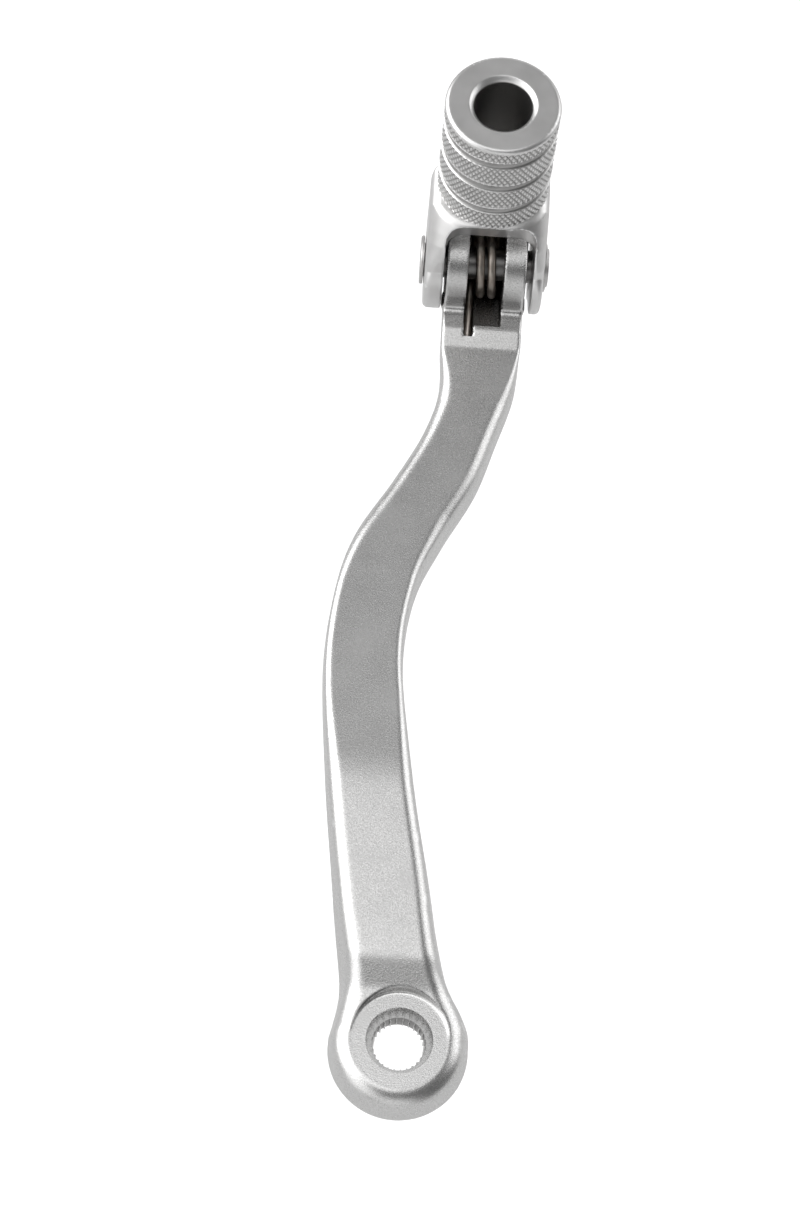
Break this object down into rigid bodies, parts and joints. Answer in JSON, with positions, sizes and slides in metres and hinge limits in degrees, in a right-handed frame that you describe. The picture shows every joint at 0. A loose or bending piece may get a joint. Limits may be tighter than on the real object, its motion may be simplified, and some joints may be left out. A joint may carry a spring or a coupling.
{
  "type": "gear shift lever",
  "caption": "Forged motorcycle gear shift lever with an S-bent arm, a splined hub and a sprung folding toe tip with a knurled peg.",
  "frame": {"origin": "on the shift shaft's axis, at the hub's back face", "axes": "+Z along the shift shaft, outboard; +Y from the hub towards the toe tip; X along the tip's hinge pin"},
  "size_m": [0.0398, 0.1929, 0.0634],
  "materials": {
    "forged_aluminium": "bead-blasted forged aluminium, bright and finely grained",
    "machined_aluminium": "satin machined aluminium with polished grooves",
    "pin_steel": "plain steel, slightly dull",
    "spring_steel": "drawn spring wire with a brown tint"
  },
  "bodies": {
    "lever": {"arm": "forged_aluminium", "return_spring": "spring_steel"},
    "tip": {"toe_tip": "machined_aluminium", "pivot_pin": "pin_steel", "pin_washer": "pin_steel"}
  },
  "joints": [
    {"name": "tip_fold", "type": "hinge", "parent": "lever", "child": "tip", "pos_m": [0.00864, 0.1592, 0.02], "axis": [1, 0, 0], "range_deg": [0, 90], "stiffness_Nm_per_rad": 0.4, "springref_deg": -34.38, "deforming": ["return_spring"]}
  ]
}
